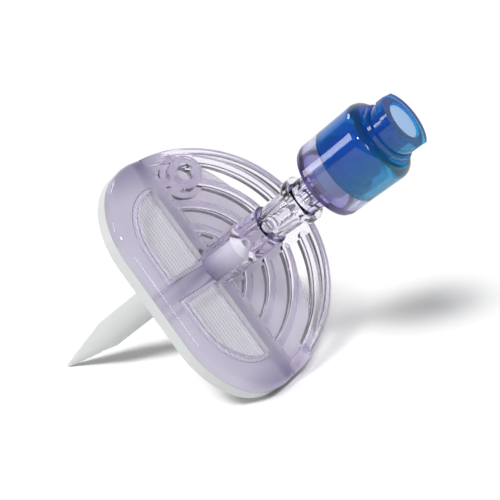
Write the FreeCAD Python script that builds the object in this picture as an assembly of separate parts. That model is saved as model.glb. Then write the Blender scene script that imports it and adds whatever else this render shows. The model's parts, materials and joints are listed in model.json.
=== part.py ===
import FreeCAD, Part
import math
import os

# A vented dispensing spike for drawing medicine out of a vial.
# A white spike and filter tray, moulded in one, carries a clear cover welded on top of it.
# The cover has two filter windows in front, an inclined wing of concentric ribs behind,
# and a tower that ends in a female luer port. A needle-free valve with a blue cap is
# pressed into the port. Millimetres.
#
# The pieces are drawn in the device's own frame: the Z axis runs up the spike's axis
# towards the valve, Z = 0 is the seam between tray and cover, the flat front edge is at -Y
# and the wing rises at +Y. At the end everything is laid down on the spike's tip and the
# tray's rim, which is how it lies on a table.

# Driving dimensions

# filter tray and cover outline
half_width = 20.2              # from the axis to the short straight sides
back_bulge = 0.5               # the round back's radius is this much more than the half width
front_distance = 14.9          # from the axis to the flat front edge
front_corner_radius = 13.0
tray_thickness = 1.9
tray_edge_radius = 0.35
cover_height = 1.8
cover_edge_radius = 0.8
rear_plate_thickness = 0.8

# filter windows
window_margin = 4.1            # from the outline to the windows' outer edge
window_rear_distance = 1.9     # from the axis to the windows' rear edge
window_side_shift = 1.2        # the windows end this much further in at the sides
window_recess = 0.8
spine_half_width = 2.0
filter_chamber_depth = 0.45
filter_seat_margin = 0.7
filter_thickness = 0.2
support_rib_height = 0.6
support_rib_width = 0.35
support_rib_pitch = 1.25

# spike, a little to the left of the tower's axis
spike_offset = -2.2
spike_length = 34.2
spike_radius = 2.4
spike_cone_length = 12.0
spike_tip_radius = 0.3
fluid_lumen_radius = 0.75
air_lumen_radius = 0.5
lumen_offset = 1.0
spike_window_length = 4.0
nipple_radius = 1.9            # the tray's short tube that stands inside the tower
nipple_height = 9.0
nipple_tip_height = 1.3
nipple_clearance = 0.05

# wing of ribs
wing_angle = 28.5
wing_thickness = cover_height * 1.1   # stays clear of the tray at the hinge
rim_radius = 20.15
rim_centre_distance = 1.2      # the rim's centre lies in front of the hinge
rim_width = 1.15
rib_width = 1.4
rib_pitch = 3.8
first_rib_inner_radius = 7.4
rib_count = 4
rib_centre_distance = 3.45     # the ribs' common centre lies further in front
rib_edge_radius = 0.4
strip_half_width = 3.0
strip_thickness = 1.0
strip_overlap = 0.9
hinge_wall_thickness = 2.4
gusset_thickness = 1.6
gusset_inset = 1.3
gusset_length = 5.5

# vent boss, square to the wing
boss_side = -14.6              # across from the middle
boss_reach = 4.6               # from the hinge, along the wing
boss_radius = 2.7
boss_bore_radius = 1.4
boss_height_above_wing = 1.0
boss_pad_margin = 0.9

# tower and luer port
tower_radius = 3.05
tower_top = 13.8
tower_bore_radius = 1.0
port_root_radius = 2.55
port_mouth_radius = 2.75
port_top = 21.05
port_wall_seat = 0.02          # radial gap between the two luer cones
luer_mouth_radius = 2.15
luer_taper = 0.03              # change of radius for each millimetre of length
luer_depth = 7.5
port_lug_length = 3.55
port_lug_half_width = 2.9
port_lug_thickness = 1.3

# needle-free valve
valve_stem_radius = 2.65
valve_floor_level = 25.0
valve_radius = 5.9
valve_base_top = 29.3
valve_floor_thickness = 1.2
valve_wall = 1.0
male_luer_engagement = 6.5
male_luer_bore_radius = 1.1
cap_radius = 6.0
cap_draft = 0.1
cap_shoulder_level = 36.4
cap_shoulder_radius = 1.5
cap_wall = 1.1
neck_radius = 3.9
neck_collar_radius = 4.35
neck_collar_height = 0.8
cap_top = 39.85
cap_lug_length = 4.3
cap_lug_half_width = 4.0
cap_lug_thickness = 1.1
plug_radius = 2.75
plug_clearance = 0.05
plug_recess = 0.25
plug_skirt_radius = 4.4
plug_flange_radius = 4.7
plug_flange_thickness = 0.8

UP = FreeCAD.Vector(0, 0, 1)
ORIGIN = FreeCAD.Vector(0, 0, 0)


def vec(x, y, z=0.0):
    return FreeCAD.Vector(x, y, z)


def cylinder(radius, bottom, top, x=0.0, y=0.0):
    return Part.makeCylinder(radius, top - bottom, vec(x, y, bottom), UP)


def cone(bottom_radius, top_radius, bottom, top, x=0.0, y=0.0):
    return Part.makeCone(bottom_radius, top_radius, top - bottom, vec(x, y, bottom), UP)


def block(x0, x1, y0, y1, z0, z1):
    return Part.makeBox(x1 - x0, y1 - y0, z1 - z0, vec(x0, y0, z0))


def revolve(points):
    # a closed outline of (radius, level) points turned about the axis
    wire = Part.makePolygon([vec(r, 0, z) for r, z in points + points[:1]])
    return Part.Face(wire).revolve(ORIGIN, UP, 360)


def flat_front_outline(inset):
    # an arc behind, short straight sides, rounded corners and a straight front edge
    radius = half_width + back_bulge - inset
    side_x = half_width - inset
    front = front_distance - inset
    corner = front_corner_radius - inset
    back_y = math.sqrt(radius ** 2 - side_x ** 2)
    side_y = corner - front
    corner_x = side_x - corner
    diagonal = corner / math.sqrt(2)

    def mirrored(point):
        return vec(-point.x, point.y)

    back_end = vec(side_x, back_y)
    side_end = vec(side_x, side_y)
    middle = vec(corner_x + diagonal, side_y - diagonal)
    front_end = vec(corner_x, -front)
    right_side = Part.LineSegment(back_end, side_end).toShape()
    right_corner = Part.Arc(side_end, middle, front_end).toShape()
    front_edge = Part.LineSegment(front_end, mirrored(front_end)).toShape()
    left_corner = Part.Arc(mirrored(front_end), mirrored(middle), mirrored(side_end)).toShape()
    left_side = Part.LineSegment(mirrored(side_end), mirrored(back_end)).toShape()
    back = Part.Arc(mirrored(back_end), vec(0, radius), back_end).toShape()
    return Part.Wire([right_side, right_corner, front_edge, left_corner, left_side, back])


def plate(inset, bottom, top):
    face = Part.Face(flat_front_outline(inset))
    face.translate(vec(0, 0, bottom))
    return face.extrude(vec(0, 0, top - bottom))


def edges_at_level(shape, level):
    found = []
    for edge in shape.Edges:
        box = edge.BoundBox
        if abs(box.ZMin - level) < 1e-3 and abs(box.ZMax - level) < 1e-3:
            found.append(edge)
    return found


def window_space(side, margin, bottom, top):
    # the space of one filter window, grown or shrunk by a margin all round
    whole = plate(window_margin - margin, bottom, top)
    whole.translate(vec(-side * window_side_shift, 0))
    inner = spine_half_width - margin
    rear = -window_rear_distance + margin
    x0, x1 = (inner, half_width) if side > 0 else (-half_width, -inner)
    return whole.common(block(x0, x1, -half_width, rear, bottom, top))


def spike_profile():
    shoulder = -tray_thickness - spike_length + spike_cone_length
    tip = -tray_thickness - spike_length
    root = -tray_thickness
    return [
        (0, root + 0.5),
        (spike_radius, root + 0.5),
        (spike_radius, shoulder),
        (spike_radius * 0.72, shoulder - spike_cone_length * 0.32),
        (spike_tip_radius, tip + spike_tip_radius * 0.5),
        (spike_tip_radius * 0.5, tip),
        (0, tip),
    ]


def make_spike_base():
    tray = plate(0, -tray_thickness, 0)
    tray = tray.makeFillet(tray_edge_radius, edges_at_level(tray, -tray_thickness))
    spike = revolve(spike_profile())
    spike.translate(vec(spike_offset, 0))
    nipple = cylinder(nipple_radius, -tray_thickness / 2, nipple_height - nipple_tip_height)
    nipple_tip = cone(nipple_radius, fluid_lumen_radius + 0.2, nipple_height - nipple_tip_height,
                      nipple_height)
    body = tray.fuse([spike, nipple, nipple_tip])
    for side in (-1, 1):
        floor = -filter_thickness - support_rib_height
        body = body.cut(window_space(side, filter_seat_margin, floor, 0))
        body = body.fuse(support_ribs(side, floor))
    return cut_lumens(body).removeSplitter()


def support_ribs(side, floor):
    # parallel bars across the pocket hold the membrane up; a bridge at the spine feeds air
    top = floor + support_rib_height
    front = front_distance - window_margin + filter_seat_margin
    rear = window_rear_distance - filter_seat_margin
    count = int((front - rear) / support_rib_pitch)
    space = window_space(side, filter_seat_margin, floor, top)
    bars = []
    for index in range(count):
        y = -rear - (index + 0.6) * support_rib_pitch
        bars.append(block(-half_width, half_width, y - support_rib_width / 2,
                          y + support_rib_width / 2, floor, top))
    return Part.makeCompound(bars).common(space)


def cut_lumens(body):
    # the fluid lumen runs up the spike's right side and steps over into the nipple;
    # the air lumen runs up the left side and ends in the filter tray
    tip = -tray_thickness - spike_length
    shoulder = tip + spike_cone_length
    fluid_end = shoulder - spike_window_length
    fluid_x = spike_offset + lumen_offset
    air_x = spike_offset - lumen_offset
    step = -tray_thickness / 2
    wide = spike_radius
    cuts = [
        cylinder(fluid_lumen_radius, fluid_end, step, fluid_x),
        cylinder(fluid_lumen_radius, step - 2 * fluid_lumen_radius, nipple_height),
        block(fluid_x, 0, -fluid_lumen_radius, fluid_lumen_radius,
              step - 2 * fluid_lumen_radius, step),
        block(fluid_x, fluid_x + wide, -fluid_lumen_radius, fluid_lumen_radius,
              fluid_end, shoulder),
        cylinder(air_lumen_radius, shoulder + 1.0, 0, air_x),
        block(air_x - wide, air_x, -air_lumen_radius, air_lumen_radius,
              shoulder + 1.0, shoulder + 2.2),
    ]
    for tool in cuts:
        body = body.cut(tool)
    return body


def make_filter(side):
    bottom = -filter_thickness
    sheet = window_space(side, filter_seat_margin, bottom, 0)
    inset = window_space(side, filter_seat_margin - 0.1, bottom, 0)
    return sheet.common(inset)


def wing_ring(inner, outer, centre_distance):
    ring = cylinder(outer, -wing_thickness, 0).cut(cylinder(inner, -wing_thickness, 0))
    ring.translate(vec(0, -centre_distance))
    return ring.common(block(-outer, outer, 0, outer, -wing_thickness, 0))


def ring_sector(inner, outer, angle):
    solid = Part.makeCylinder(outer, wing_thickness, vec(0, 0, -wing_thickness), UP, angle)
    return solid.cut(cylinder(inner, -wing_thickness, 0))


def rib_arc(inner, outer):
    # one side of a rib: an arc from the hinge to a rounded end beside the middle strip
    middle = (inner + outer) / 2
    half_width = (outer - inner) / 2
    end_x = strip_half_width + half_width
    end_y = math.sqrt(middle ** 2 - end_x ** 2)
    arc = ring_sector(inner, outer, math.degrees(math.atan2(end_y, end_x)))
    nose = cylinder(half_width, -wing_thickness, 0, end_x, end_y)
    rib = arc.fuse(nose).removeSplitter()
    rib.translate(vec(0, -rib_centre_distance))
    return rib.common(block(-outer, outer, 0, outer, -wing_thickness, 0))


def rounded_rib(inner, outer):
    rib = rib_arc(inner, outer)
    top_edges = [edge for edge in edges_at_level(rib, 0) if edge.BoundBox.YMax > 0.01]
    return rib.makeFillet(rib_edge_radius, top_edges)


def make_rim():
    rim = wing_ring(rim_radius - rim_width, rim_radius, rim_centre_distance)
    top_edges = [edge for edge in edges_at_level(rim, 0) if edge.BoundBox.YMax > 0.01]
    return rim.makeFillet(rib_edge_radius, top_edges)


def mirror_x(shape):
    return shape.mirror(ORIGIN, vec(1, 0, 0))


def to_wing(shape):
    # from the wing's own flat frame to its place, hinged on the cover's rear top edge
    placed = shape.copy()
    placed.rotate(ORIGIN, vec(1, 0, 0), wing_angle)
    placed.translate(vec(0, 0, cover_height))
    return placed


def make_wing():
    pieces = [make_rim()]
    for index in range(rib_count):
        inner = first_rib_inner_radius + index * rib_pitch
        rib = rounded_rib(inner, inner + rib_width)
        pieces.append(rib)
        pieces.append(mirror_x(rib))
    half = strip_half_width + strip_overlap
    reach = rim_radius - rim_centre_distance - rim_width / 2
    strip = block(-half, half, 0, reach, -wing_thickness, -wing_thickness + strip_thickness)
    pieces.append(strip)
    pieces.append(boss_outer())
    wing = pieces[0].multiFuse(pieces[1:])
    return to_wing(wing.cut(boss_bore()))


def boss_outer():
    tube = cylinder(boss_radius, -wing_thickness, boss_height_above_wing, boss_side, boss_reach)
    pad = cylinder(boss_radius + boss_pad_margin, -wing_thickness, -wing_thickness / 2,
                   boss_side, boss_reach)
    return tube.fuse(pad)


def boss_bore():
    return cylinder(boss_bore_radius, -wing_thickness, boss_height_above_wing,
                    boss_side, boss_reach)


def make_gussets():
    # short walls that close the wedge between wing and tray at both ends of the hinge
    rise = gusset_length * math.tan(math.radians(wing_angle))
    x0 = half_width - gusset_inset - gusset_thickness
    points = [vec(x0, 0, 0), vec(x0, gusset_length, 0),
              vec(x0, gusset_length, cover_height + rise - wing_thickness / 2),
              vec(x0, 0, cover_height - wing_thickness / 2 + 0.4)]
    face = Part.Face(Part.makePolygon(points + points[:1]))
    right = face.extrude(vec(gusset_thickness, 0, 0))
    return right, mirror_x(right)


def make_tower():
    column = cylinder(tower_radius, 0, tower_top)
    port = cone(port_root_radius, port_mouth_radius, tower_top, port_top)
    lug_disc = cylinder(port_lug_length, port_top - port_lug_thickness, port_top)
    lugs = lug_disc.common(block(-port_lug_length, port_lug_length, -port_lug_half_width,
                                 port_lug_half_width, 0, port_top))
    return column.fuse([port, lugs])


def luer_radius(level):
    return luer_mouth_radius - luer_taper * (port_top - level)


def tower_bore():
    seat = port_top - luer_depth
    luer = cone(luer_radius(seat), luer_mouth_radius, seat, port_top)
    passage = cylinder(tower_bore_radius, nipple_height, seat)
    socket = cylinder(nipple_radius + nipple_clearance, 0, nipple_height - nipple_tip_height)
    socket_top = cone(nipple_radius + nipple_clearance, tower_bore_radius,
                      nipple_height - nipple_tip_height, nipple_height + nipple_clearance)
    return luer.fuse([passage, socket, socket_top])


def make_housing():
    # the cover's front half, with a recess over each filter and a shallow chamber below it
    housing = plate(0, 0, cover_height)
    rear_y = hinge_wall_thickness / 2
    housing = housing.common(block(-half_width, half_width, -half_width, rear_y, 0, cover_height))
    top_outline = [edge for edge in edges_at_level(housing, cover_height)
                   if edge.BoundBox.YMin < rear_y - 0.01]
    housing = housing.makeFillet(cover_edge_radius, top_outline)
    for side in (-1, 1):
        recess = window_space(side, 0, cover_height - window_recess, cover_height)
        chamber = window_space(side, 0, 0, filter_chamber_depth)
        housing = housing.cut(recess).cut(chamber)
    return housing


def make_filter_cover():
    rear = plate(0, 0, rear_plate_thickness)
    reach = half_width + back_bulge
    rear = rear.common(block(-reach, reach, 0, reach, 0, rear_plate_thickness))
    left_gusset, right_gusset = make_gussets()
    parts = [rear, make_wing(), left_gusset, right_gusset, make_tower()]
    cover = make_housing().fuse(parts)
    return cover.cut(tower_bore()).removeSplitter()


def make_valve_base():
    luer_end = port_top - male_luer_engagement
    outline = [
        (male_luer_bore_radius, luer_end),
        (luer_radius(luer_end) - port_wall_seat, luer_end),
        (luer_radius(port_top) - port_wall_seat, port_top),
        (valve_stem_radius, port_top + 0.15),
        (valve_stem_radius, valve_floor_level),
        (valve_radius - 0.7, valve_floor_level + 0.1),
        (valve_radius - 0.2, valve_floor_level + 0.4),
        (valve_radius, valve_floor_level + 1.0),
        (valve_radius, valve_base_top),
        (valve_radius - valve_wall, valve_base_top),
        (valve_radius - valve_wall, valve_floor_level + valve_floor_thickness),
        (male_luer_bore_radius, valve_floor_level + valve_floor_thickness),
    ]
    return revolve(outline)


def cap_body():
    lower = cone(cap_radius - cap_draft, cap_radius, valve_base_top, cap_shoulder_level)
    rounded = lower.makeFillet(cap_shoulder_radius, edges_at_level(lower, cap_shoulder_level))
    neck = cylinder(neck_radius, cap_shoulder_level - 0.5, cap_top)
    collar = cylinder(neck_collar_radius, cap_shoulder_level - 0.5,
                      cap_shoulder_level + neck_collar_height)
    lug_disc = cylinder(cap_lug_length, cap_top - cap_lug_thickness, cap_top)
    lugs = lug_disc.common(block(-cap_lug_half_width, cap_lug_half_width, -cap_lug_length,
                                 cap_lug_length, 0, cap_top))
    return rounded.fuse([neck, collar, lugs])


def make_valve_cap():
    bore = cylinder(plug_radius + plug_clearance, valve_base_top, cap_top)
    chamber = cylinder(cap_radius - cap_draft - cap_wall, valve_base_top,
                       cap_shoulder_level - cap_wall)
    return cap_body().cut(bore).cut(chamber).removeSplitter()


def make_valve_plug():
    floor = valve_floor_level + valve_floor_thickness
    flange_top = valve_base_top + plug_flange_thickness
    shoulder = cap_shoulder_level - cap_wall - 0.3
    top = cap_top - plug_recess
    outline = [
        (male_luer_bore_radius, floor),
        (plug_skirt_radius - 1.2, floor),
        (plug_skirt_radius - 1.2, valve_base_top),
        (plug_flange_radius, valve_base_top),
        (plug_flange_radius, flange_top),
        (plug_skirt_radius - 0.8, flange_top),
        (plug_skirt_radius - 0.8, shoulder - 1.0),
        (plug_radius, shoulder),
        (plug_radius, top - 0.2),
        (plug_radius - 0.2, top),
        (0, top),
        (0, shoulder - 1.5),
        (male_luer_bore_radius, shoulder - 2.5),
    ]
    return revolve(outline)


def build_nodes():
    return {
        "spike_base": make_spike_base(),
        "filter_cover": make_filter_cover(),
        "left_filter_membrane": make_filter(-1),
        "right_filter_membrane": make_filter(1),
        "valve_base": make_valve_base(),
        "valve_plug": make_valve_plug(),
        "valve_cap": make_valve_cap(),
    }


def resting_placement():
    # the floor touches the rim of the spike's blunt tip and the rounded lower edge of the
    # tray's straight side
    reach = half_width - tray_edge_radius - spike_offset - spike_tip_radius * 0.5
    rise = spike_length + tray_edge_radius
    distance = math.hypot(reach, rise)
    lean = math.atan2(reach, rise) + math.asin(tray_edge_radius / distance)
    tip_over = FreeCAD.Rotation(vec(0, 1, 0), 90 - math.degrees(lean))
    return FreeCAD.Placement(ORIGIN, tip_over)


def lay_down(nodes):
    placement = resting_placement()
    laid = {}
    for name, shape in nodes.items():
        copy = shape.copy()
        copy.Placement = placement.multiply(copy.Placement)
        laid[name] = copy
    box = Part.makeCompound(list(laid.values())).optimalBoundingBox()
    shift = vec(-(box.XMin + box.XMax) / 2, -(box.YMin + box.YMax) / 2, -box.ZMin)
    print("laid down by", placement.Rotation.Angle, "rad about Y, then moved by", shift)
    for shape in laid.values():
        shape.translate(shift)
    return laid


def main():
    os.makedirs("parts", exist_ok=True)
    for name, shape in lay_down(build_nodes()).items():
        shape.exportStep("parts/" + name + ".step")
        print(name, "valid", shape.isValid(), "solids", len(shape.Solids),
              "volume %.1f" % shape.Volume)


main()
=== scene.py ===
import bpy
import json
import math
from mathutils import Matrix, Vector

# A vented dispensing spike that lies on a white table, seen as in the photograph.
# Metres. The frame's origin is under the part, at table height, and +Z is up.

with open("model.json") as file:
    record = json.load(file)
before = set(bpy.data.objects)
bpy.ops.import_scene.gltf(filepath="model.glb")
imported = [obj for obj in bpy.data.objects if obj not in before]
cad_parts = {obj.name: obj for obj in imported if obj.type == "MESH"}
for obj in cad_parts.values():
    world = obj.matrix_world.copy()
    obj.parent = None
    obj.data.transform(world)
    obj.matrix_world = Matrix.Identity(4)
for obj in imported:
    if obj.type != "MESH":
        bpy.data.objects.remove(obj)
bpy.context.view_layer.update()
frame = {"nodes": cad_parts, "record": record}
nodes = frame["nodes"]

# The part's source draws it upright, in millimetres: Z runs up the tower from the seam
# between tray and cover, and the tray's flat front edge is at -Y. The syringe port's
# place in the record says how the part was then laid down.
MM = 0.001
PORT_LEVEL = 39.85            # the port's rim on the upright part
port = next(mount for mount in frame["record"]["mounts"] if mount["name"] == "syringe_port")
LIE = Matrix.Rotation(math.atan2(port["axis"][0], port["axis"][2]), 3, "Y")
MOVED_BY = Vector(port["pos_m"]) / MM - LIE @ Vector((0, 0, PORT_LEVEL))
ACROSS = Vector((1, 0, 0))
BACK = Vector((0, 1, 0))
UP = Vector((0, 0, 1))

# Where the faces lie that get a material of their own
ON_LEVEL = 0.02               # a face this near to a level lies on it
FACES_UP = 0.5                # share of a face's direction that points up the tower
FACES_SIDEWAYS = 0.15
FACES_DOWN = -0.99
TRAY_TOP_DEPTH = 1.0          # the pockets' floors belong to the tray's top
TUBE_FOOT = 0.5
TUBE_TOP = 7.0
TUBE_REACH = 2.0
WINDOWS_END = 15.4            # the walls around both windows lie within these
WINDOWS_FRONT = -11.9
WINDOWS_REAR = -1.5
WINDOW_WALLS_TOP = 2.4
TOWER_FOOT_REACH = 3.6
VALVE_STEM_LEVEL = 22.8
VALVE_EDGE_BOTTOM = 24.9
VALVE_EDGE_TOP = 26.6
VALVE_EDGE_REACH = 4.6
PLUG_TOP_LEVEL = 38.5
PLUG_TOP_REACH = 3.2

# Where painted violet shade gathers on the tray's top under the cover, from the tower's axis, and how
# much of it
BAR_PAINTED_SHADE = 0.75
BAR_PAINTED_SHADE_AT_FRONT = 0.3     # as a share of that at the hinge
ENDS_PAINTED_SHADE = 0.6
HINGE_PAINTED_SHADE = 0.25
BAR_HALF_WIDTH = 4.0
BAR_SLANT = 0.13
BAR_SLANT_CENTRE = -7.0
NEAR_HINGE = (-17.0, -3.0)
HINGE_FRONT = (-4.0, -0.5)
HINGE_REAR = (-0.5, 7.0)
TRAY_ENDS = (14.5, 20.0)
# shares of painted violet shade across the middle bar, each at its share of the bar's width
PAINTED_BAR_STREAKS = ((0.0, 0.0), (0.16, 0.0), (0.30, 0.95), (0.36, 0.45), (0.52, 0.8), (0.66, 0.35),
               (0.74, 0.85), (0.86, 0.1), (1.0, 0.0))

# Blender's wave texture turns by this many radians in a metre at a scale of 1
WAVE_PHASE = 20.0
FILTER_BAR_PITCH = 0.7

# Table and studio
TABLE_HALF_WIDTH = 12.0
TABLE_LIT = 0.38
TABLE_SEEN = 0.60
SKY = 0.55
SKY_UNDER_COVER = 0.82
STUDIO_DARK = 0.12
BACKDROP_SIDE = (-0.5, 0.86, 0.1)
BACKDROP_WHOLE = 35.0         # degrees from its middle to where the backdrop starts to darken
BACKDROP_END = 55.0
SUN_SIDE = (0.15, -1.0, 0.92)
SOFTBOX_DISTANCE = 1.2


def place(x, y, z):
    # a point of the upright part, in millimetres, to its place on the table, in metres
    return (LIE @ Vector((x, y, z)) + MOVED_BY) * MM


def upright(point):
    # a point on the table, in metres, back in the upright part's own millimetres
    return LIE.transposed() @ (point / MM - MOVED_BY)


# Shader nodes

def set_inputs(tree, node, **inputs):
    # an input takes another node's output, a colour of three shares or a plain value
    for name, value in inputs.items():
        socket = node.inputs[name.replace("_", " ")]
        if isinstance(value, bpy.types.NodeSocket):
            tree.links.new(value, socket)
        elif socket.type == "RGBA":
            socket.default_value = (*value, 1)
        else:
            socket.default_value = value


def add_node(tree, kind, **inputs):
    node = tree.nodes.new("ShaderNode" + kind)
    set_inputs(tree, node, **inputs)
    return node


def operate(tree, kind, operation, first, second):
    # a step of arithmetic, whose inputs have no names of their own
    step = tree.nodes.new("ShaderNode" + kind)
    step.operation = operation
    for socket, value in zip(step.inputs, (first, second)):
        if isinstance(value, bpy.types.NodeSocket):
            tree.links.new(value, socket)
        else:
            socket.default_value = value
    return step


def joined(tree, operation, first, second=0.0):
    return operate(tree, "Math", operation, first, second).outputs["Value"]


def in_direction(tree, vector, direction):
    return operate(tree, "VectorMath", "DOT_PRODUCT", vector, direction).outputs["Value"]


def spread(tree, value, low, high, first=0.0, last=1.0):
    # an even change from the first at low to the last at high
    ramp = add_node(tree, "MapRange", Value=value, From_Min=low, From_Max=high,
                    To_Min=first, To_Max=last)
    return ramp.outputs["Result"]


def fade(tree, value, start, end):
    # 0 before the start, 1 after the end, smooth between; both in millimetres
    ramp = add_node(tree, "MapRange", Value=value, From_Min=start * MM, From_Max=end * MM)
    ramp.interpolation_type = "SMOOTHSTEP"
    return ramp.outputs["Result"]


def blended(tree, share, first, second):
    # the first colour where the share is 0, the second where it is 1
    return add_node(tree, "MixRGB", Fac=share, Color1=first, Color2=second).outputs["Color"]


def along(tree, direction):
    # metres from the upright part's origin along one of its own directions
    position = add_node(tree, "NewGeometry").outputs["Position"]
    off = operate(tree, "VectorMath", "SUBTRACT", position, place(0, 0, 0)).outputs["Vector"]
    return in_direction(tree, off, LIE @ direction)


def bounced_in_glass(tree, path):
    # 1 for a ray that a shiny or clear face has sent on, 0 for others
    return joined(tree, "MAXIMUM", path.outputs["Is Glossy Ray"], path.outputs["Is Transmission Ray"])


# Materials

def new_material(name):
    material = bpy.data.materials.new(name)
    material.use_nodes = True
    tree = material.node_tree
    return material, tree, tree.nodes["Principled BSDF"]


def moulded_surface(tree, shader, scale, strength, depth, smooth, rough):
    # fine unevenness, and a roughness that varies with it
    position = add_node(tree, "TexCoord").outputs["Object"]
    noise = add_node(tree, "TexNoise", Vector=position, Scale=scale, Detail=3.0).outputs["Fac"]
    bump = add_node(tree, "Bump", Height=noise, Strength=strength, Distance=depth)
    set_inputs(tree, shader, Normal=bump.outputs["Normal"],
               Roughness=spread(tree, noise, 0.0, 1.0, smooth, rough))


def lets_light_through(tree, shader, tint):
    # the lamps' light passes straight through, so that what lies under it is lit
    path = add_node(tree, "LightPath")
    passing = add_node(tree, "BsdfTransparent", Color=tint)
    mix = tree.nodes.new("ShaderNodeMixShader")
    tree.links.new(path.outputs["Is Shadow Ray"], mix.inputs["Fac"])
    tree.links.new(shader.outputs["BSDF"], mix.inputs[1])
    tree.links.new(passing.outputs["BSDF"], mix.inputs[2])
    set_inputs(tree, tree.nodes["Material Output"], Surface=mix.outputs["Shader"])


def clear_plastic(name, tint, passing, depth_tint, density, clearness=1.0):
    # depth_tint grows with the plastic's thickness, and passing tints the lamps' light under it
    material, tree, shader = new_material(name)
    set_inputs(tree, shader, Base_Color=tint, Transmission_Weight=clearness, IOR=1.5)
    moulded_surface(tree, shader, scale=200.0, strength=0.02, depth=0.01 * MM, smooth=0.01, rough=0.04)
    volume = add_node(tree, "VolumeAbsorption", Color=depth_tint, Density=density)
    set_inputs(tree, tree.nodes["Material Output"], Volume=volume.outputs["Volume"])
    lets_light_through(tree, shader, passing)
    return material


def solid_plastic(name, colour, smooth, rough, scattering=0.0):
    material, tree, shader = new_material(name)
    set_inputs(tree, shader, Base_Color=colour, Subsurface_Weight=scattering,
               Subsurface_Scale=1.0 * MM)
    moulded_surface(tree, shader, scale=900.0, strength=0.12, depth=0.04 * MM, smooth=smooth, rough=rough)
    return material


def filter_sheet(name, raised, painted_shade_sunk):
    # a thin filter sheet that shows the fine parallel bars under it, with painted shade in the sunk bars
    material, tree, shader = new_material(name)
    position = add_node(tree, "TexCoord").outputs["Object"]
    bars = add_node(tree, "TexWave", Vector=position,
                    Scale=2 * math.pi / (WAVE_PHASE * FILTER_BAR_PITCH * MM))
    bars.bands_direction = "Y"
    height = bars.outputs["Fac"]
    bump = add_node(tree, "Bump", Height=height, Strength=0.5, Distance=0.1 * MM)
    set_inputs(tree, shader, Base_Color=blended(tree, height, painted_shade_sunk, raised), Roughness=0.7,
               Normal=bump.outputs["Normal"])
    return material


def painted_bar_streaks(tree, back):
    # painted shade in streaks along the middle bar, which run a little steeper than the bar itself
    slant = joined(tree, "MULTIPLY", joined(tree, "ADD", back, -BAR_SLANT_CENTRE * MM), BAR_SLANT)
    side = joined(tree, "ADD", along(tree, ACROSS), slant)
    share = spread(tree, side, -BAR_HALF_WIDTH * MM, BAR_HALF_WIDTH * MM)
    streaks = add_node(tree, "ValToRGB", Fac=share)
    streaks.color_ramp.interpolation = "EASE"
    points = streaks.color_ramp.elements
    while len(points) < len(PAINTED_BAR_STREAKS):
        points.new(0.5)
    for point, (where, violet) in zip(points, PAINTED_BAR_STREAKS):
        point.position = where
        point.color = (violet, violet, violet, 1)
    return streaks.outputs["Color"]


def painted_shade_share(tree, back):
    # painted violet shade gathers in the middle bar, along the hinge and towards the ends of the tray
    across = joined(tree, "ABSOLUTE", along(tree, ACROSS))
    ends = joined(tree, "MULTIPLY", fade(tree, across, *TRAY_ENDS), ENDS_PAINTED_SHADE)
    near_hinge = spread(tree, fade(tree, back, *NEAR_HINGE), 0.0, 1.0, BAR_PAINTED_SHADE_AT_FRONT, 1.0)
    bar = joined(tree, "MULTIPLY", painted_bar_streaks(tree, back), near_hinge)
    bar = joined(tree, "MULTIPLY", bar, BAR_PAINTED_SHADE)
    hinge = joined(tree, "SUBTRACT", fade(tree, back, *HINGE_FRONT), fade(tree, back, *HINGE_REAR))
    hinge = joined(tree, "MULTIPLY", hinge, joined(tree, "ADD", ends, HINGE_PAINTED_SHADE))
    return joined(tree, "MAXIMUM", joined(tree, "MAXIMUM", bar, ends), hinge)


def painted_shade_under_cover(name, pale, painted_shade_deep, painted_light_under_wing):
    # the half under the wing gets light through the wing's openings only, and is painted paler there as
    # painted light; the front half carries painted violet shade
    material, tree, shader = new_material(name)
    back = along(tree, BACK)
    front_half = blended(tree, painted_shade_share(tree, back), pale, painted_shade_deep)
    behind = fade(tree, back, *HINGE_REAR)
    set_inputs(tree, shader, Base_Color=blended(tree, behind, front_half, painted_light_under_wing), Roughness=0.4)
    return material


def painted_shade_in_tower(name, low, high):
    # painted shade: dark violet at the foot, turning pale towards the top
    material, tree, shader = new_material(name)
    height = fade(tree, along(tree, UP), TUBE_FOOT, TUBE_TOP)
    set_inputs(tree, shader, Base_Color=blended(tree, height, low, high), Roughness=0.4)
    return material


def second_tint(material, tint, direction, start, end):
    # the colour turns into a second one between two places along a direction of the part
    tree = material.node_tree
    shader = tree.nodes["Principled BSDF"]
    first = shader.inputs["Base Color"].default_value[:3]
    share = fade(tree, along(tree, direction), start, end)
    set_inputs(tree, shader, Base_Color=blended(tree, share, first, tint))


# Faces with a material of their own, told by their middle and direction on the upright part

def from_axis(point):
    return math.hypot(point.x, point.y)


def on_tray_top(middle, facing):
    return -TRAY_TOP_DEPTH < middle.z < ON_LEVEL and facing.z > FACES_UP


def on_tube(middle, facing):
    return ON_LEVEL < middle.z < TUBE_TOP and from_axis(middle) < TUBE_REACH


def on_window_wall(middle, facing):
    around_windows = abs(middle.x) < WINDOWS_END and WINDOWS_FRONT < middle.y < WINDOWS_REAR
    outside_tower = from_axis(middle) > TOWER_FOOT_REACH
    in_cover = ON_LEVEL < middle.z < WINDOW_WALLS_TOP
    return around_windows and outside_tower and in_cover and abs(facing.z) < FACES_SIDEWAYS


def on_valve_stem(middle, facing):
    return middle.z < VALVE_STEM_LEVEL


def on_valve_edge(middle, facing):
    return VALVE_EDGE_BOTTOM < middle.z < VALVE_EDGE_TOP and from_axis(middle) > VALVE_EDGE_REACH


def on_plug_top(middle, facing):
    inside_neck = from_axis(middle) < PLUG_TOP_REACH
    return middle.z > PLUG_TOP_LEVEL and inside_neck and facing.z > FACES_UP


def on_weld(middle, facing):
    return abs(middle.z) < ON_LEVEL and facing.z < FACES_DOWN


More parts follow.
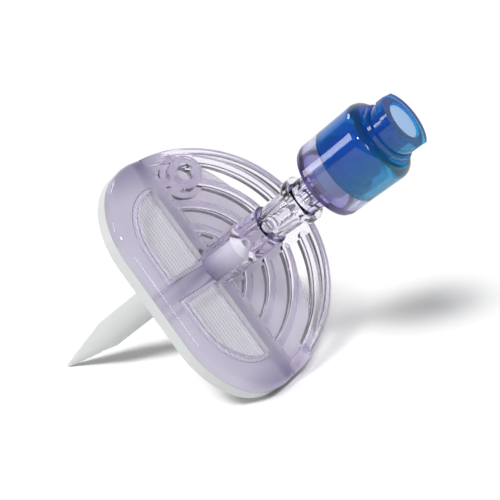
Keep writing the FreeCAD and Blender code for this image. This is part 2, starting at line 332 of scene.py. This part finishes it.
def chosen_faces(node, choice):
    back_upright = LIE.transposed()
    return [face for face in node.data.polygons
            if choice(upright(face.center), back_upright @ face.normal)]


def paint(node, material):
    node.data.materials.clear()
    node.data.materials.append(material)


def paint_faces(node, choice, material):
    node.data.materials.append(material)
    for face in chosen_faces(node, choice):
        face.material_index = len(node.data.materials) - 1


def weld_onto_tray(node):
    # where clear plastic is welded flat onto the tray there is no surface between the two,
    # so its lowest faces aren't drawn
    group = node.vertex_groups.new(name="welded")
    for face in chosen_faces(node, on_weld):
        group.add(list(face.vertices), 1.0, "REPLACE")
    mask = node.modifiers.new("weld", "MASK")
    mask.vertex_group = "welded"
    mask.invert_vertex_group = True


# The part's pieces

def dress_spike_base():
    base = nodes["spike_base"]
    paint(base, solid_plastic("white base", (0.74, 0.76, 0.76), smooth=0.32, rough=0.45, scattering=0.1))
    # the tray's top under the cover carries painted violet shade, and painted light under the wing
    paint_faces(base, on_tray_top, painted_shade_under_cover(
        "white base under the cover", pale=(0.78, 0.785, 0.80), painted_shade_deep=(0.26, 0.21, 0.37),
        painted_light_under_wing=(0.90, 0.89, 0.92)))
    # the short tube on the tray is seen through the tower's thick wall, with painted dark violet shade at
    # its foot that turns pale towards its top
    paint_faces(base, on_tube, painted_shade_in_tower(
        "tube in the tower with painted shade", low=(0.24, 0.21, 0.33), high=(0.70, 0.69, 0.75)))


def dress_filter_cover():
    # the upright walls around the two windows look pale and soft
    cover = nodes["filter_cover"]
    inside = {"passing": (0.80, 0.80, 0.795), "depth_tint": (0.60, 0.49, 0.82), "density": 95.0}
    paint(cover, clear_plastic("clear cover", (0.995, 0.988, 0.998), **inside))
    paint_faces(cover, on_window_wall, clear_plastic(
        "window walls", (0.86, 0.85, 0.90), clearness=0.35, **inside))
    weld_onto_tray(cover)


def dress_membranes():
    sheet = filter_sheet("filter membrane", raised=(0.90, 0.90, 0.92), painted_shade_sunk=(0.72, 0.72, 0.75))
    paint(nodes["left_filter_membrane"], sheet)
    paint(nodes["right_filter_membrane"], sheet)


def dress_valve_base():
    # painted violet shade towards its lower end, a darker painted shade along its lower edge, and clear
    # at its stem
    base = nodes["valve_base"]
    plastic = clear_plastic("clear valve base", (0.74, 0.77, 0.92), passing=(0.45, 0.45, 0.46),
                            depth_tint=(0.52, 0.54, 0.80), density=130.0, clearness=0.9)
    second_tint(plastic, (0.42, 0.32, 0.70), -UP, start=-28.0, end=-25.2)
    paint(base, plastic)
    paint_faces(base, on_valve_edge, clear_plastic(
        "valve base lower edge with painted shade", (0.17, 0.09, 0.42), passing=(0.6, 0.6, 0.64),
        depth_tint=(0.48, 0.50, 0.80), density=200.0, clearness=0.6))
    paint_faces(base, on_valve_stem, clear_plastic(
        "clear end under the valve", (0.98, 0.98, 1.0), passing=(0.6, 0.6, 0.6),
        depth_tint=(0.55, 0.50, 0.82), density=90.0))


def dress_valve_plug():
    plug = nodes["valve_plug"]
    paint(plug, solid_plastic("silicone plug", (0.12, 0.27, 0.62), smooth=0.3, rough=0.5))
    # the top is painted much lighter than the body, as painted light on the lit top
    paint_faces(plug, on_plug_top, solid_plastic(
        "silicone plug top with painted light", (0.42, 0.66, 1.0), smooth=0.3, rough=0.5))


def dress_valve_cap():
    # blue, with painted teal light on the side that is turned down to the table
    plastic = clear_plastic("blue cap with painted teal light", (0.05, 0.34, 0.80), passing=(0.38, 0.42, 0.47),
                            depth_tint=(0.05, 0.54, 0.78), density=560.0, clearness=0.88)
    second_tint(plastic, (0.04, 0.66, 0.86), ACROSS, start=-1.5, end=5.5)
    paint(nodes["valve_cap"], plastic)


# Table and light

def shown_white(tree, plain, white):
    # the camera sees a paler table, straight or in glass, than the one that lights the part
    path = add_node(tree, "LightPath")
    seen = joined(tree, "MAXIMUM", path.outputs["Is Camera Ray"], bounced_in_glass(tree, path))
    return blended(tree, seen, [plain] * 3, [white] * 3)


def make_table():
    half = TABLE_HALF_WIDTH
    mesh = bpy.data.meshes.new("table")
    corners = [(-half, -half, 0), (half, -half, 0), (half, half, 0), (-half, half, 0)]
    mesh.from_pydata(corners, [], [(0, 1, 2, 3)])
    floor = bpy.data.objects.new("table", mesh)
    bpy.context.collection.objects.link(floor)
    material, tree, shader = new_material("white table")
    tree.nodes.remove(shader)
    matt = add_node(tree, "BsdfDiffuse", Color=shown_white(tree, TABLE_LIT, TABLE_SEEN))
    set_inputs(tree, tree.nodes["Material Output"], Surface=matt.outputs["BSDF"])
    mesh.materials.append(material)
    return floor


def backdrop(tree):
    # a lit backdrop stands behind the part; the rest of the studio is darker
    direction = add_node(tree, "TexCoord").outputs["Generated"]
    return spread(tree, in_direction(tree, direction, BACKDROP_SIDE),
                  math.cos(math.radians(BACKDROP_END)), math.cos(math.radians(BACKDROP_WHOLE)),
                  STUDIO_DARK, 1.0)


def make_world():
    world = bpy.data.worlds.new("studio")
    world.use_nodes = True
    tree = world.node_tree
    path = add_node(tree, "LightPath")
    # what is seen through clear plastic, and the light that a matt face under it gathers
    seen_first = joined(tree, "LESS_THAN", path.outputs["Diffuse Depth"], 0.5)
    beyond = blended(tree, seen_first, [SKY_UNDER_COVER] * 3, backdrop(tree))
    light = blended(tree, bounced_in_glass(tree, path), [SKY] * 3, beyond)
    shown = blended(tree, path.outputs["Is Camera Ray"], light, (1, 1, 1))
    set_inputs(tree, tree.nodes["Background"], Color=shown)
    bpy.context.scene.world = world


def hang_lamp(data, towards_lamp, distance):
    # the lamp shines at the frame's origin
    lamp = bpy.data.objects.new(data.name, data)
    lamp.location = Vector(towards_lamp).normalized() * distance
    lamp.rotation_euler = (-Vector(towards_lamp)).to_track_quat("-Z", "Y").to_euler()
    bpy.context.collection.objects.link(lamp)
    return lamp


def soft_sun(name, towards_lamp, strength, angle):
    data = bpy.data.lights.new(name, "SUN")
    data.energy = strength
    data.angle = angle
    return hang_lamp(data, towards_lamp, 0.0)


def softbox(name, towards_lamp, size, watts):
    data = bpy.data.lights.new(name, "AREA")
    data.shape = "SQUARE"
    data.size = size
    data.energy = watts
    return hang_lamp(data, towards_lamp, SOFTBOX_DISTANCE)


def light_only(lamp, surfaces):
    # the lamp reaches these surfaces and leaves the others as they are
    lit = bpy.data.collections.new(lamp.name + " lights")
    for surface in surfaces:
        lit.objects.link(surface)
    lamp.light_linking.receiver_collection = lit


def make_lamps(table):
    # the second sun deepens the shadow on the table, and the last two give highlights
    soft_sun("key", SUN_SIDE, strength=0.78, angle=0.1)
    light_only(soft_sun("shadow key", SUN_SIDE, strength=4.8, angle=0.3), [table])
    softbox("window", (-0.74, -0.57, 0.35), size=0.28, watts=1.9)
    top_left = softbox("top left", (-0.50, 0.20, 0.84), size=0.34, watts=2.9)
    front_right = softbox("front right", (0.70, -0.52, 0.49), size=0.28, watts=2.0)
    for lamp in (top_left, front_right):
        light_only(lamp, nodes.values())


def make_camera():
    # the camera of the photograph, found from the part's own axis and outline;
    # lengths in millimetres, from the tower's axis at the cover's top
    distance = 151.5
    shift_right = -4.971
    shift_up = -2.409
    cover_top = 1.8
    turned = Matrix.Rotation(math.radians(-2.92), 3, "Z")
    tilted = Matrix.Rotation(math.radians(-56.52), 3, "X")
    rolled = Matrix.Rotation(math.radians(-52.37), 3, "Z")
    from_camera = (rolled @ tilted @ turned).transposed()
    eye = from_camera @ Vector((-shift_right, -shift_up, distance)) + Vector((0, 0, cover_top))
    data = bpy.data.cameras.new("camera")
    data.lens = 72.0
    data.sensor_width = 36.0
    data.clip_start = 0.005
    data.clip_end = 30.0
    camera = bpy.data.objects.new("camera", data)
    camera.matrix_world = Matrix.Translation(place(*eye)) @ (LIE @ from_camera).to_4x4()
    bpy.context.collection.objects.link(camera)
    bpy.context.scene.camera = camera


dress_spike_base()
dress_filter_cover()
dress_membranes()
dress_valve_base()
dress_valve_plug()
dress_valve_cap()
table = make_table()
make_world()
make_lamps(table)
make_camera()

scene = bpy.context.scene
scene.view_settings.view_transform = "Standard"
